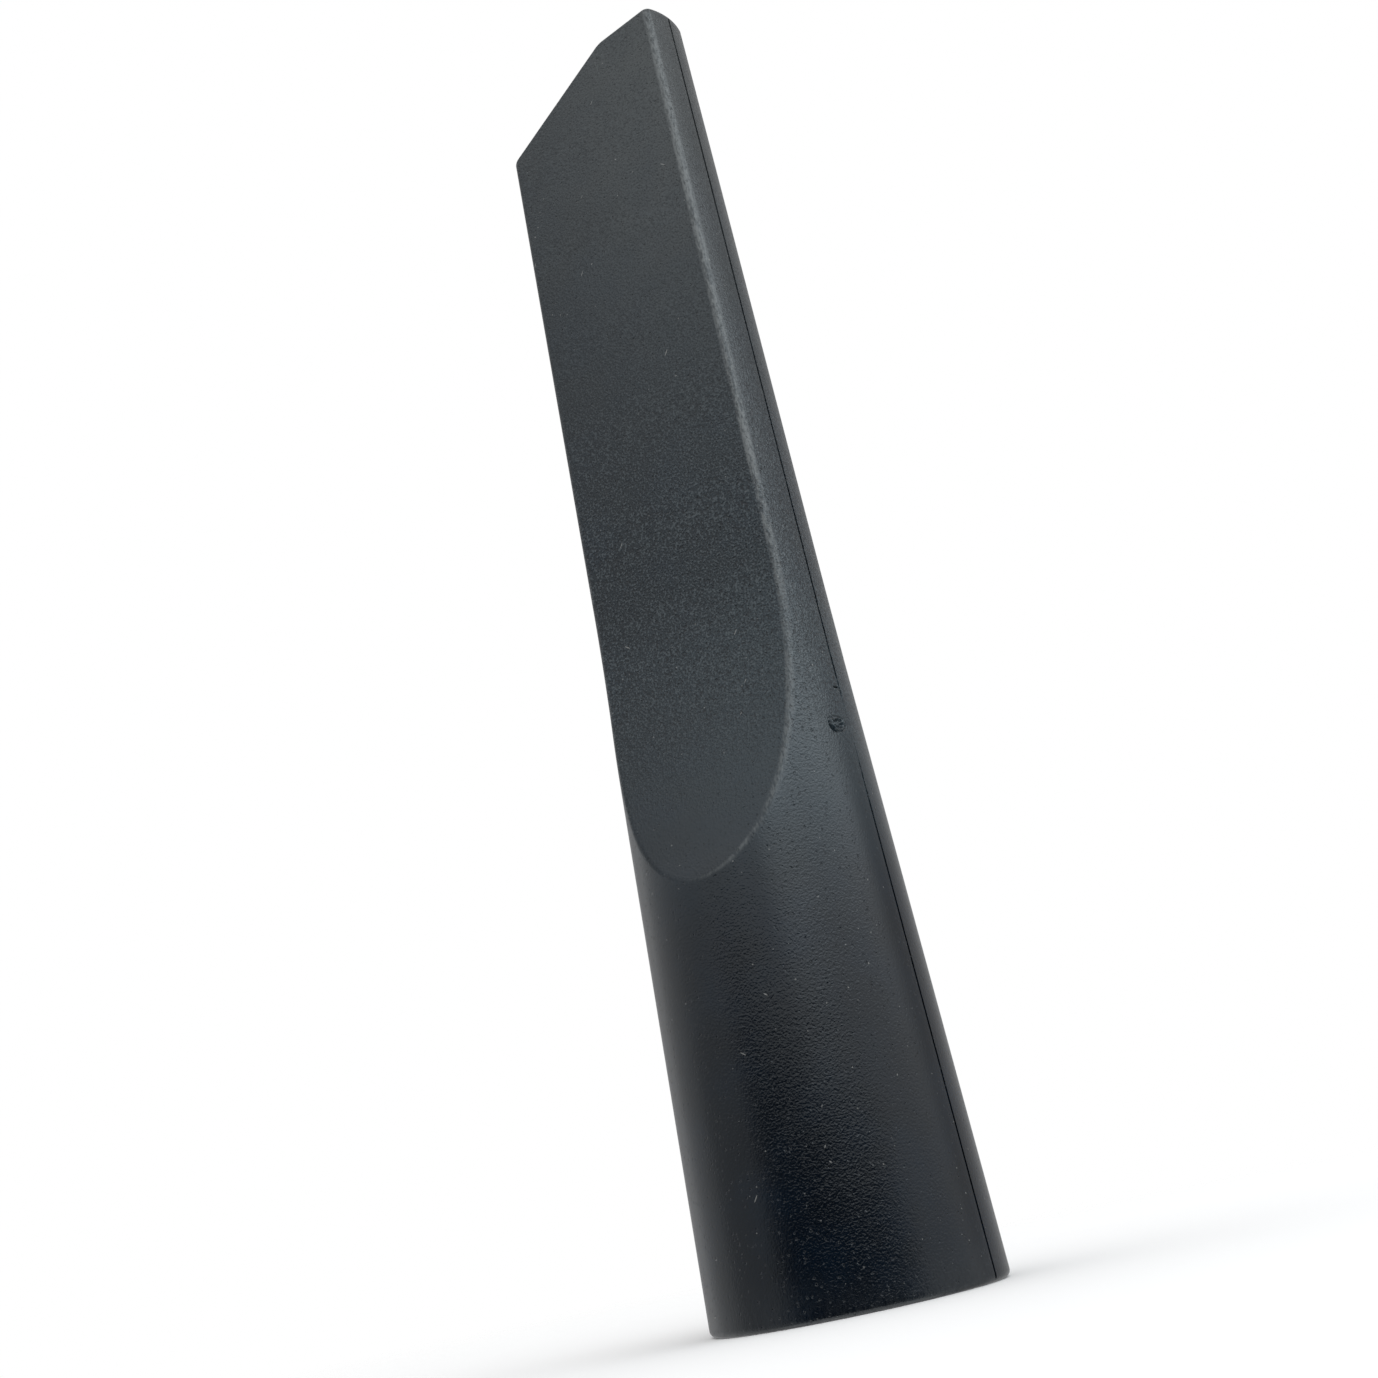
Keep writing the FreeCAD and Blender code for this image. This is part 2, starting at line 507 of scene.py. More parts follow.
@dataclass(frozen=True)
class BlackPlastic:
    """Black moulded plastic with a spark-eroded grain, rubbed edges and a little dust; its colour also
    holds painted highlights on the grain's peaks and along the long edge, and painted shade in the
    grain's hollows and towards the short side.

    A span is where something starts and where it is full. Spans in millimetres are heights above the
    rim, and side_mm runs from the short side to the long side.
    """

    deep_black: Colour = (0.0010, 0.0024, 0.0050, 1.0)
    grey_black: Colour = (0.0014, 0.0046, 0.0100, 1.0)
    bloom: Colour = (0.025, 0.038, 0.046, 1.0)
    dusty: Colour = (0.046, 0.050, 0.050, 1.0)
    # Pale colour on the grain's peaks: a painted glint, with some dust.
    peak_glint_and_dust: Colour = (0.075, 0.090, 0.098, 1.0)
    # Pale colour of the rubbed edges, also a painted highlight along the long edge's round.
    rubbed: Colour = (0.128, 0.137, 0.139, 1.0)
    dust: Colour = (0.26, 0.26, 0.25, 1.0)
    sheen_tint: Colour = (0.91, 0.97, 1.0, 1.0)
    ior: float = 1.5
    roughness: Span = (0.10, 0.18)
    rubbed_roughness: float = 0.25
    gloss_pitch_mm: float = 6.0
    cloud_pitch_mm: float = 9.0
    cloud_span: Span = (0.36, 0.76)
    nozzle_mm: Span = (44.0, 70.0)
    flat_mm: Span = (82.0, 98.0)
    tip_mm: Span = (98.0, 172.0)
    side_mm: Span = (-14.0, 14.0)
    film_ramp_to_flat: Span = (0.42, 0.20)
    # Painted shade: the film thins towards the short side, so the flat is darker there.
    film_side_shade: Span = (0.65, 1.35)
    dusty_sides: Span = (0.29, 0.63)
    dusty_patches: Span = (0.5, 1.5)
    dusty_pitch_mm: float = 5.0
    grain_pitch_mm: float = 0.27
    grain_depth_mm: float = 0.120
    grain_detail: float = 0.6
    grain_roughness: float = 0.6
    grain_warp: float = 0.5
    grain_starts_mm: Span = (58.0, 86.0)
    grain_fades_mm: Span = (140.0, 100.0)
    grain_tip_to_ramp: Span = (0.35, 1.0)
    grain_socket_to_ramp: Span = (0.24, 1.0)
    peak_glint_span: Span = (0.52, 0.68)
    peak_glint_share: float = 0.45
    # The grain's hollows and pits get painted shade, darkened as if shadowed.
    hollow_shade_span: Span = (0.46, 0.34)
    hollow_shade_socket_to_ramp: Span = (0.30, 0.95)
    pit_pitch_mm: float = 0.66
    pit_depth_mm: float = 0.070
    pit_size: Span = (0.28, 0.14)
    pit_chance: Span = (0.46, 0.80)
    wave_pitch_mm: float = 11.0
    wave_depth_mm: float = 0.06
    streak_pitch_mm: float = 0.28
    streak_length: float = 3.0
    streak_share: float = 0.7
    rub_patch_mm: float = 6.0
    rub_span: Span = (0.36, 0.62)
    rub_least_to_most: Span = (0.15, 1.0)
    scuff_pitch_mm: float = 0.30
    scuff_length: float = 28.0
    scuff_turn: float = -9.0
    scuff_span: Span = (0.66, 0.80)
    scuff_patch_mm: float = 14.0
    scuff_patch_span: Span = (0.52, 0.68)
    scuff_mm: Span = (92.0, 112.0)
    scuff_share: float = 0.35
    speck_pitch_mm: float = 1.15
    speck_chance: Span = (0.86, 1.0)
    speck_share: float = 0.28
    lint_pitch_mm: float = 0.75
    lint_length: float = 7.0
    lint_turns: tuple[tuple[float, float, float], ...] = (
        (0.0, 35.0, 0.0),
        (0.0, -55.0, 0.0),
        (40.0, 80.0, 0.0),
    )
    lint_chance: Span = (0.90, 1.0)
    lint_share: float = 0.5
    mote_size: float = 0.11

    def make(self) -> bpy.types.Material:
        """Make the finish.

        Returns:
            The material.
        """
        material = bpy.data.materials.new("black_moulded_plastic")
        material.use_nodes = True
        bench = NodeBench(material.node_tree)
        grain, pits = self.grain(bench)
        # The rubbed mask also carries the painted highlight along the long edge's round.
        rubbed = self.rub_and_highlight(bench)
        shader = bench.add("BsdfPrincipled")
        bench.feed(shader, IOR=self.ior, Specular_Tint=self.sheen_tint)
        bench.feed(shader, Base_Color=self.colour(bench, grain, pits, rubbed))
        bench.feed(shader, Roughness=self.gloss(bench, rubbed))
        bench.feed(shader, Normal=self.relief(bench, grain, pits))
        bench.feed(bench.add("OutputMaterial"), Surface=shader.outputs[0])
        return material

    def grain(self, bench: NodeBench) -> tuple[Socket, Socket]:
        """Make the mould's spark-eroded grain.

        Args:
            bench: The material's nodes.

        Returns:
            The grain's height around 0.5, and its scattered pits, 1 in their middles.
        """
        noise = bench.noise(
            bench.place(), self.grain_pitch_mm, self.grain_detail, self.grain_roughness, self.grain_warp
        )
        cells = bench.cells(self.ruffle(bench), self.pit_pitch_mm)
        hollow = bench.ramp(cells.outputs["Distance"], *self.pit_size)
        kept = bench.ramp(bench.chance(cells), *self.pit_chance)
        return noise.outputs[0], bench.times(hollow, kept)

    def ruffle(self, bench: NodeBench) -> Socket:
        """Push the coordinates about, so that round pits become uneven.

        Args:
            bench: The material's nodes.

        Returns:
            The new coordinates.
        """
        place = bench.place()
        noise = bench.noise(place, self.grain_pitch_mm, detail=0.0)
        push = bench.add("VectorMath", operation="MULTIPLY_ADD")
        bench.plug(push.inputs[0], noise.outputs["Color"])
        bench.plug(push.inputs[1], [self.grain_pitch_mm * MM] * 3)
        bench.plug(push.inputs[2], place)
        return push.outputs[0]

    def rub_and_highlight(self, bench: NodeBench) -> Socket:
        """Rub the exposed edges in fine streaks, with a painted highlight along the long edge's round,
        and scuff the nozzle.

        Args:
            bench: The material's nodes.

        Returns:
            How much each place is rubbed, the painted edge highlight included.
        """
        place = bench.place()
        along = bench.stretch(place, (0.0, 0.0, 0.0), self.streak_length)
        streaks = bench.cloud(along, self.streak_pitch_mm, 3.0)
        patches = bench.cloud(place, self.rub_patch_mm, 2.0)
        patches = bench.times(patches, 1.0 - self.streak_share)
        uneven = bench.math("MULTIPLY_ADD", streaks, self.streak_share, patches)
        rough = bench.between(bench.ramp(uneven, *self.rub_span), self.rub_least_to_most)
        edge = bench.add("Attribute", attribute_name=WEAR_AND_HIGHLIGHT).outputs["Fac"]
        return bench.math("MAXIMUM", bench.times(edge, rough), self.scuffs(bench))

    def scuffs(self, bench: NodeBench) -> Socket:
        """Scatter a few faint streaks along the nozzle.

        Args:
            bench: The material's nodes.

        Returns:
            How much each place is scuffed.
        """
        place = bench.place()
        along = bench.stretch(place, (0.0, self.scuff_turn, 0.0), self.scuff_length)
        streak = bench.ramp(bench.cloud(along, self.scuff_pitch_mm, 1.0), *self.scuff_span)
        where = bench.ramp(bench.cloud(place, self.scuff_patch_mm, 2.0), *self.scuff_patch_span)
        nozzle = bench.ramp(bench.millimetres("Z"), *self.scuff_mm)
        return bench.times(streak, where, nozzle, self.scuff_share)

    def colour(self, bench: NodeBench, grain: Socket, pits: Socket, rubbed: Socket) -> Socket:
        """Lay cloudy blacks, a dusty film that thins as painted shade towards the short side, painted
        highlights on the grain's peaks, painted shade in its hollows and pits, rubbed edges with a
        painted highlight, and dust over each other.

        Args:
            bench: The material's nodes.
            grain: The grain's height.
            pits: The grain's pits.
            rubbed: How much each place is rubbed.

        Returns:
            The colour.
        """
        cloud = bench.ramp(bench.cloud(bench.place(), self.cloud_pitch_mm, 4.0), *self.cloud_span)
        black = bench.mix(cloud, self.deep_black, self.grey_black)
        height = bench.millimetres("Z")
        long_side = bench.ramp(bench.millimetres("X"), *self.side_mm)
        flat = bench.between(bench.ramp(height, *self.flat_mm), self.film_ramp_to_flat)
        # Painted shade: the film thins towards the short side, so the flat is darker there.
        sides = bench.between(long_side, self.film_side_shade)
        film = bench.times(bench.ramp(height, *self.nozzle_mm), flat, sides)
        black = bench.mix(film, black, self.bloom)
        patchy = bench.between(bench.cloud(bench.place(), self.dusty_pitch_mm, 5.0), self.dusty_patches)
        settled = bench.between(long_side, self.dusty_sides)
        tip = bench.times(bench.ramp(height, *self.tip_mm), settled, patchy)
        black = bench.mix(tip, black, self.dusty)
        shown = self.stand_out(bench)
        # Painted highlight: the grain's peaks are paled as if they caught the light, with some dust.
        pale = bench.times(shown, bench.ramp(grain, *self.peak_glint_span), self.peak_glint_share)
        black = bench.mix(pale, black, self.peak_glint_and_dust)
        # Painted shade: the grain's hollows and its pits are darkened as if in shadow.
        hollow_shade = bench.math("MAXIMUM", bench.ramp(grain, *self.hollow_shade_span), pits)
        hollow_shade = bench.times(hollow_shade, bench.between(shown, self.hollow_shade_socket_to_ramp))
        black = bench.mix(hollow_shade, black, self.deep_black)
        # Rubbed edges: partly real wear, partly a painted highlight along the long edge's round.
        worn_and_highlit = bench.mix(rubbed, black, self.rubbed)
        return bench.mix(self.specks(bench), worn_and_highlit, self.dust)

    def stand_out(self, bench: NodeBench) -> Socket:
        """Tell how much the grain stands out, most where the ramps run into the nozzle.

        Args:
            bench: The material's nodes.

        Returns:
            The grain's strength, from 0 on the socket to 1.
        """
        height = bench.millimetres("Z")
        below_tip = bench.between(bench.ramp(height, *self.grain_fades_mm), self.grain_tip_to_ramp)
        return bench.times(bench.ramp(height, *self.grain_starts_mm), below_tip)

    def specks(self, bench: NodeBench) -> Socket:
        """Scatter dust specks and short lint.

        Args:
            bench: The material's nodes.

        Returns:
            How much each place is covered.
        """
        place = bench.place()
        cells = bench.cells(place, self.speck_pitch_mm)
        cover = bench.times(self.motes(bench, cells, self.speck_chance), self.speck_share)
        for turn in self.lint_turns:
            cells = bench.cells(bench.stretch(place, turn, self.lint_length), self.lint_pitch_mm)
            lint = bench.times(self.motes(bench, cells, self.lint_chance), self.lint_share)
            cover = bench.math("MAXIMUM", cover, lint)
        return cover

    def motes(self, bench: NodeBench, cells: bpy.types.Node, chance: Span) -> Socket:
        """Put a small mote in some cells of a pattern.

        Args:
            bench: The material's nodes.
            cells: The pattern's node.
            chance: The cells' random numbers from which motes start and at which they are full.

        Returns:
            1 on a mote and 0 beside it.
        """
        size = bench.times(bench.ramp(bench.chance(cells), *chance), self.mote_size)
        return bench.math("LESS_THAN", cells.outputs["Distance"], size)

    def gloss(self, bench: NodeBench, rubbed: Socket) -> Socket:
        """Vary the roughness a little and roughen what is rubbed.

        Args:
            bench: The material's nodes.
            rubbed: How much the surface is rubbed.

        Returns:
            The roughness.
        """
        even = bench.between(bench.cloud(bench.place(), self.gloss_pitch_mm, 3.0), self.roughness)
        return bench.math("MULTIPLY_ADD", rubbed, self.rubbed_roughness, even)

    def relief(self, bench: NodeBench, grain: Socket, pits: Socket) -> Socket:
        """Raise the grain and sink its pits over a faint waviness.

        Args:
            bench: The material's nodes.
            grain: The grain's height.
            pits: The grain's pits.

        Returns:
            The normal.
        """
        wave = bench.add("Bump")
        bench.feed(wave, Height=bench.cloud(bench.place(), self.wave_pitch_mm, 1.0), Strength=1.0)
        bench.feed(wave, Distance=self.wave_depth_mm * MM)
        strong = bench.between(self.stand_out(bench), self.grain_socket_to_ramp)
        raised = bench.add("Bump")
        bench.feed(raised, Height=bench.times(grain, strong), Strength=1.0)
        bench.feed(raised, Distance=self.grain_depth_mm * MM, Normal=wave.outputs[0])
        sunk = bench.add("Bump", invert=True)
        bench.feed(sunk, Height=pits, Strength=1.0, Distance=self.pit_depth_mm * MM)
        bench.feed(sunk, Normal=raised.outputs[0])
        return sunk.outputs[0]


@dataclass(frozen=True)
class Ridge:
    """A round ridge or groove of the gate mark, in shares of the mark's half size and of its rise."""

    out: float
    width: float
    height: float

    def at(self, out: float) -> float:
        """Give the ridge's height at a distance from the mark's middle."""
        return self.height * bell(out, self.out, self.width)


@dataclass(frozen=True)
class Ripple:
    """A wave: its size, how many radians it takes for each unit along, and its start in radians."""

    size: float
    pace: float
    start: float = 0.0

    def at(self, along: float) -> float:
        """Give the wave's height at a distance or an angle along it."""
        return self.size * sin(self.pace * along + self.start)


@dataclass(frozen=True)
class EdgeWearAndHighlight:
    """How rubbed the exposed edges are, with a painted highlight along the long edge's round, in shares,
    and where, in millimetres.
    """

    sides: Span = (0.15, 1.0)
    side_middle: float = 0.3
    side_reach: float = 10.0
    heights: Span = (0.5, 0.85)
    height_start: float = 72.0
    height_run: float = 35.0
    spread: float = 0.6
    skin: float = 0.3
    rim: float = 0.2
    rim_height: float = 1.2

    def on_edge(self, point: Vector, on_round: float) -> float:
        """Give the wear and the painted highlight on the flat's edge.

        Args:
            point: The point, in millimetres.
            on_round: How far the point is on the edge's round, from 0 to 1.

        Returns:
            The wear, from 0 to 1.
        """
        long_side = clamp(self.side_middle + point.x / self.side_reach, *self.sides)
        upper = clamp((point.z - self.height_start) / self.height_run, *self.heights)
        return long_side * on_round**self.spread * upper


@dataclass
class CreviceTool:
    """The one moulding: socket, ramps, flat nozzle and slanted mouth.

    Lengths are in millimetres and angles in degrees. The socket's radius and the length come from the
    frame. The nozzle's tip is thicker and its mouth lower than the solid's, as in the photograph.
    """

    socket_radius: float
    length: float
    rim_wall: float = 3.0
    inside_frame: float = 0.02
    socket_depth: float = 30.0
    socket_lead_in: float = 0.8
    socket_stop: float = 0.6
    rim_round: float = 0.9
    knee_height: float = 81.0
    lower_draft: float = 1.94
    upper_draft: float = 1.25
    duct_wall: float = 2.0
    ramp_start: float = 54.0
    ramp_angle: float = 27.0
    ramp_blend: float = 88.0
    flat_draft: float = 1.035
    flat_wall: float = 1.6
    mouth_gap: float = 6.2
    edge_round: float = 1.2
    airway_edge_round: float = 0.5
    kink_across: float = 4.45
    mouth_drop: float = 0.75
    kink_round: float = 4.0
    shallow_angle: float = 8.0
    steep_angle: float = 31.4
    lip_round: float = 0.28
    lip_share: float = 0.9
    lip_row_share: float = 3.0
    lip_row_reach: float = 1.2
    corner_round: float = 0.15
    seam_skin_share: float = 0.75
    seam_half_width: float = 0.21
    seam_floor_share: float = 0.75
    seam_floor_spread: float = 1.7
    seam_depth: float = 0.40
    seam_foot: float = 0.3
    seam_end_fade: float = 0.5
    seam_run_in: float = 20.0
    seam_on_socket: float = 0.45
    seam_lost_at_gate: float = 0.9
    seam_lost_reach: float = 9.0
    seam_ripple: Ripple = Ripple(0.25, 2.3)
    seam_swell: Ripple = Ripple(1.0, 0.71, 0.4)
    seam_crisp_angle: float = 35.0
    seam_crisp_share: float = 2.0
    gate_height: float = 70.6
    gate_turn: float = -9.6
    gate_wide: float = 1.40
    gate_tall: float = 0.95
    gate_rise: float = 0.26
    gate_reach: float = 1.5
    gate_patch: float = 1.55
    gate_ring: Ridge = Ridge(out=0.82, width=0.17, height=0.8)
    gate_groove: Ridge = Ridge(out=1.12, width=0.10, height=-1.3)
    gate_well: Ridge = Ridge(out=0.48, width=0.13, height=-0.9)
    gate_ragged: tuple[Ripple, ...] = (Ripple(0.35, 2.0, 0.7), Ripple(0.30, 5.0))
    gate_bent: tuple[Ripple, ...] = (Ripple(0.06, 4.0, 1.0), Ripple(0.04, 7.0))
    torn_toward: tuple[float, ...] = (205.0, -5.0)
    torn_all_round: float = 0.4
    nick_height: float = 75.8
    nick_length: float = 1.5
    nick_depth: float = 0.45
    nick_half_height: float = 0.12
    nick_reach: float = 0.5
    nick_ends: float = 2.5
    nick_patch: float = 0.6
    nick_patch_start: float = 0.2
    nick_patch_spare: float = 0.4
    wear: EdgeWearAndHighlight = EdgeWearAndHighlight()
    columns: int = 320
    fine_cuts: int = 5
    spare: float = 4.0
    plain_tip: float = 15.0
    merge_gap: float = 0.08
    snap: float = 1e-6
    on_line: float = 1e-4
    rim_radius: float = field(init=False)
    skins: dict[Skin, WallSkin] = field(init=False)
    mouth: MouthCut = field(init=False)

    def __post_init__(self) -> None:
        """Work out the wall's two skins and the mouth from the sizes."""
        self.rim_radius = self.socket_radius + self.rim_wall - self.inside_frame
        knee = self.rim_radius - self.knee_height * tan(radians(self.lower_draft))
        tip = knee - (self.length - self.knee_height) * tan(radians(self.upper_draft))
        root = self.rim_radius - self.ramp_start * tan(radians(self.lower_draft))
        throat = self.socket_radius - self.socket_stop
        shared = {
            "flat_draft": self.flat_draft,
            "ramp_root": root,
            "ramp_angle": self.ramp_angle,
        }
        outer = WallSkin(
            low=(0.0, self.rim_radius),
            knee=(self.knee_height, knee),
            tip=(self.length, tip),
            tip_half_gap=self.mouth_gap / 2 + self.flat_wall,
            ramp_start=self.ramp_start,
            ramp_blend=self.ramp_blend,
            edge_round=self.edge_round,
            **shared,
        )
        inner = WallSkin(
            low=(self.socket_depth, throat),
            knee=(self.knee_height, knee - self.duct_wall),
            tip=(self.length, tip - self.duct_wall),
            tip_half_gap=self.mouth_gap / 2,
            ramp_start=self.ramp_start - self.flat_wall / sin(radians(self.ramp_angle)),
            ramp_blend=self.ramp_blend + self.flat_wall,
            edge_round=self.airway_edge_round,
            **shared,
        )
        self.skins = {Skin.OUTER: outer, Skin.INNER: inner}
        self.mouth = MouthCut(
            top_x=tip,
            top_z=self.length - self.mouth_drop,
            kink_x=self.kink_across,
            kink_round=self.kink_round,
            shallow_angle=self.shallow_angle,
            steep_angle=self.steep_angle,
        )

    def skin_at(self, point: Vector) -> Skin:
        """Tell which skin of the wall a point belongs to.

        Args:
            point: A point on the round tube, in millimetres.

        Returns:
            The outer or the inner skin.
        """
        outer, inner = self.skins[Skin.OUTER], self.skins[Skin.INNER]
        middle = (outer.radius(point.z) + inner.radius(point.z)) / 2
        return Skin.OUTER if hypot(point.x, point.y) > middle else Skin.INNER

    def profile(self) -> list[tuple[float, float]]:
        """Draw the wall's section, from the tip down the outside and up the inside.

        Returns:
            The radius and the height of each point, in millimetres.
        """
        outer, inner = self.skins[Skin.OUTER], self.skins[Skin.INNER]
        last_ring, top = self.length - self.plain_tip, self.length + self.spare
        outside = [
            RingZone(6.0, 52.0, 2.0),
            RingZone(52.0, 60.0, 0.18),
            RingZone(60.0, 78.0, 0.36),
            RingZone(78.0, 97.0, 0.60),
            RingZone(97.0, last_ring, 2.0),
        ]
        inside = [
            RingZone(self.socket_depth, 48.0, 6.0),
            RingZone(48.0, 60.0, 0.60),
            RingZone(60.0, 97.0, 1.20),
            RingZone(97.0, last_ring, 4.0),
        ]
        up_outside = [z for zone in outside for z in zone.heights()] + [last_ring, top]
        up_inside = [z for zone in inside for z in zone.heights()] + [last_ring, top]
        mouth_of_socket = self.socket_radius + self.socket_lead_in
        points = [(outer.radius(z), z) for z in reversed(up_outside)]
        points += [(self.rim_radius, 0.0), (mouth_of_socket, 0.0)]
        points += [(self.socket_radius, self.socket_lead_in), (self.socket_radius, self.socket_depth)]
        points += [(inner.radius(z), z) for z in up_inside]
        return points

    def build(self) -> bpy.types.Object:
        """Build the moulding as one closed mesh.

        Returns:
            The piece, at the origin.
        """
        bm = bmesh.new()
        self.turn_tube(bm)
        self.round_socket(bm)
        self.flatten(bm)
        self.cut_mouth(bm)
        self.score_seam(bm)
        self.stamp_gate(bm)
        bmesh.ops.recalc_face_normals(bm, faces=bm.faces)
        self.keep_crisp(bm)
        self.mark_wear_and_highlight(bm)
        bmesh.ops.scale(bm, vec=(MM, MM, MM), verts=bm.verts)
        piece = mesh_object("moulded_crevice_tool", bm)
        even = piece.modifiers.new("even_shading", "WEIGHTED_NORMAL")
        even.keep_sharp = True
        return piece

    def turn_tube(self, bm: bmesh.types.BMesh) -> None:
        """Spin the wall's section into a round tube, in millimetres.

        Args:
            bm: The mesh to build in.
        """
        verts = [bm.verts.new((radius, 0.0, z)) for radius, z in self.profile()]
        edges = [bm.edges.new(pair) for pair in zip(verts, verts[1:])]
        bmesh.ops.spin(
            bm,
            geom=verts + edges,
            cent=(0.0, 0.0, 0.0),
            axis=(0.0, 0.0, 1.0),
            angle=2.0 * pi,
            steps=self.columns,
            use_merge=True,
        )

    def ring_edges(self, bm: bmesh.types.BMesh, radius: float, z: float) -> list[bmesh.types.BMEdge]:
        """Pick the edges of one ring of the round tube.

        Args:
            bm: The mesh.
            radius: The ring's radius in millimetres.
            z: The ring's height in millimetres.

        Returns:
            The ring's edges.
        """
        near = 0.01
        on_ring = {
            vert
            for vert in bm.verts
            if abs(vert.co.z - z) < near and abs(hypot(vert.co.x, vert.co.y) - radius) < near
        }
        return [edge for edge in bm.edges if on_ring.issuperset(edge.verts)]

    def round_socket(self, bm: bmesh.types.BMesh) -> None:
        """Round the rim's outer edge and break the socket's sharp corners.

        Args:
            bm: The mesh.
        """
        mouth_of_socket = self.socket_radius + self.socket_lead_in
        corners = [
            (self.rim_radius, 0.0, self.rim_round, 6),
            (mouth_of_socket, 0.0, self.corner_round, 2),
            (self.socket_radius, self.socket_lead_in, self.corner_round, 2),
            (self.socket_radius - self.socket_stop, self.socket_depth, self.corner_round, 2),
        ]
        for radius, z, size, segments in corners:
            self.round_edges(bm, self.ring_edges(bm, radius, z), size, segments)

    def round_edges(
        self, bm: bmesh.types.BMesh, edges: list[bmesh.types.BMEdge], size: float, segments: int
    ) -> None:
        """Round edges off.

        Args:
            bm: The mesh.
            edges: The edges.
            size: How far the round reaches on each side, in millimetres.
            segments: How many faces it takes.
        """
        bmesh.ops.bevel(
            bm,
            geom=edges,
            offset=size,
            offset_type="OFFSET",
            segments=segments,
            profile=0.5,
            affect="EDGES",
            material=-1,
        )

    def flatten(self, bm: bmesh.types.BMesh) -> None:
        """Press the tube flat from the front and the back above the socket.

        Args:
            bm: The mesh.
        """
        lowest = self.skins[Skin.INNER].ramp_start - self.spare
        for vert in bm.verts:
            if vert.co.z > lowest:
                vert.co = self.skins[self.skin_at(vert.co)].settle(vert.co)

    def cut_mouth(self, bm: bmesh.types.BMesh) -> None:
        """Cut the mouth on a slant and close the lip between the two skins.

        Args:
            bm: The mesh.
        """
        for at, normal in self.mouth.planes():
            bmesh.ops.bisect_plane(
                bm,
                geom=bm.verts[:] + bm.edges[:] + bm.faces[:],
                dist=self.snap,
                plane_co=at,
                plane_no=normal,
                clear_outer=True,
            )
        cut = [vert for vert in bm.verts if vert.is_boundary]
        bmesh.ops.remove_doubles(bm, verts=cut, dist=self.merge_gap)
        rims = [edge for edge in bm.edges if edge.is_boundary]
        bmesh.ops.bridge_loops(bm, edges=rims)
        self.round_edges(bm, rims, self.lip_round, segments=3)

    def on_seam(self, point: Vector, reach: float) -> bool:
        """Tell whether a point lies on the parting line at either side.

        Args:
            point: A point of the moulding, in millimetres.
            reach: How far beside the line still counts, in millimetres.

        Returns:
            True on the parting line.
        """
        outer = self.skins[Skin.OUTER].radius(point.z)
        on_side = abs(point.y) < reach and abs(point.x) > outer - self.seam_skin_share * self.rim_round
        lip = self.lip_share * self.lip_round
        return on_side and point.z > self.seam_foot and self.mouth.below(point) > lip

    def row_below_lip(self, bm: bmesh.types.BMesh) -> None:
        """Add a row of points just below the lip at both sides, so that the parting line ends there.

        Args:
            bm: The mesh.
        """
        tip = self.skins[Skin.OUTER].radius(self.length)
        for side in (-1.0, 1.0):
            inward = tip - self.lip_row_reach
            near = [face for face in bm.faces if side * face.calc_center_median().x > inward]
            geom = dict.fromkeys(part for face in near for part in (face, *face.edges, *face.verts))
            row = self.mouth.height(side * tip) - self.lip_row_share * self.lip_round
            bmesh.ops.bisect_plane(
                bm,
                geom=list(geom),
                dist=self.snap,
                plane_co=(0.0, 0.0, row),
                plane_no=(0.0, 0.0, 1.0),
            )

    def score_seam(self, bm: bmesh.types.BMesh) -> None:
        """Score the mould's parting line down both sides, as a narrow slot.

        Args:
            bm: The mesh.
        """
        self.row_below_lip(bm)
        line = [
            edge for edge in bm.edges if all(self.on_seam(vert.co, self.on_line) for vert in edge.verts)
        ]
        self.round_edges(bm, line, self.seam_half_width, segments=4)
        for vert in bm.verts:
            if self.on_seam(vert.co, self.seam_floor_share * self.seam_half_width):
                vert.co.x -= copysign(self.seam_sink(vert.co), vert.co.x)
                vert.co.y *= self.seam_floor_spread

    def seam_sink(self, point: Vector) -> float:
        """Give the parting line's depth: uneven, faint beside the gate mark and gone at its ends.

        Args:
            point: A point on the parting line, in millimetres.

        Returns:
            The depth, in millimetres.
        """
        faint = 1.0 - self.seam_lost_at_gate * bell(point.z, self.gate_height, self.seam_lost_reach)
        nozzle = clamp((point.z - self.gate_height) / self.seam_run_in)
        depth = self.seam_depth * (self.seam_on_socket + (1.0 - self.seam_on_socket) * nozzle)
        uneven = 1.0 + self.seam_ripple.at(point.z) * self.seam_swell.at(point.z)
        from_end = min(point.z - self.seam_foot, self.mouth.below(point) - self.lip_round)
        return depth * faint * uneven * clamp(from_end / self.seam_end_fade)

    def keep_crisp(self, bm: bmesh.types.BMesh) -> None:
        """Keep the shading crisp along the parting line's two edges.

        Args:
            bm: The mesh.
        """
        reach = self.seam_crisp_share * self.seam_half_width
        for edge in bm.edges:
            beside = all(self.on_seam(vert.co, reach) for vert in edge.verts)
            if beside and edge.calc_face_angle(0.0) > radians(self.seam_crisp_angle):
                edge.smooth = False

    def gate_offset(self, point: Vector) -> tuple[float, float]:
        """Unroll a point of the tube's side about the gate mark.

        Args:
            point: A point on the outer skin, in millimetres.

        Returns:
            The distances from the gate mark round the tube and up it, as shares of its half sizes.
        """
        turn = atan2(point.y, point.x) - radians(self.gate_turn)
        across = turn * hypot(point.x, point.y)
        return across / self.gate_wide, (point.z - self.gate_height) / self.gate_tall

    def at_marks(self, point: Vector) -> bool:
        """Tell whether a point of the outer skin is near the gate mark or the nick.

        Args:
            point: The point, in millimetres.

        Returns:
            True where the mesh needs finer faces.
        """
        beside_gate = hypot(*self.gate_offset(point)) < self.gate_patch
        level = abs(point.z - self.nick_height) < self.nick_patch
        beside_nick = self.nick_patch_start < -point.y < self.nick_length + self.nick_patch_spare
        return beside_gate or (level and beside_nick)

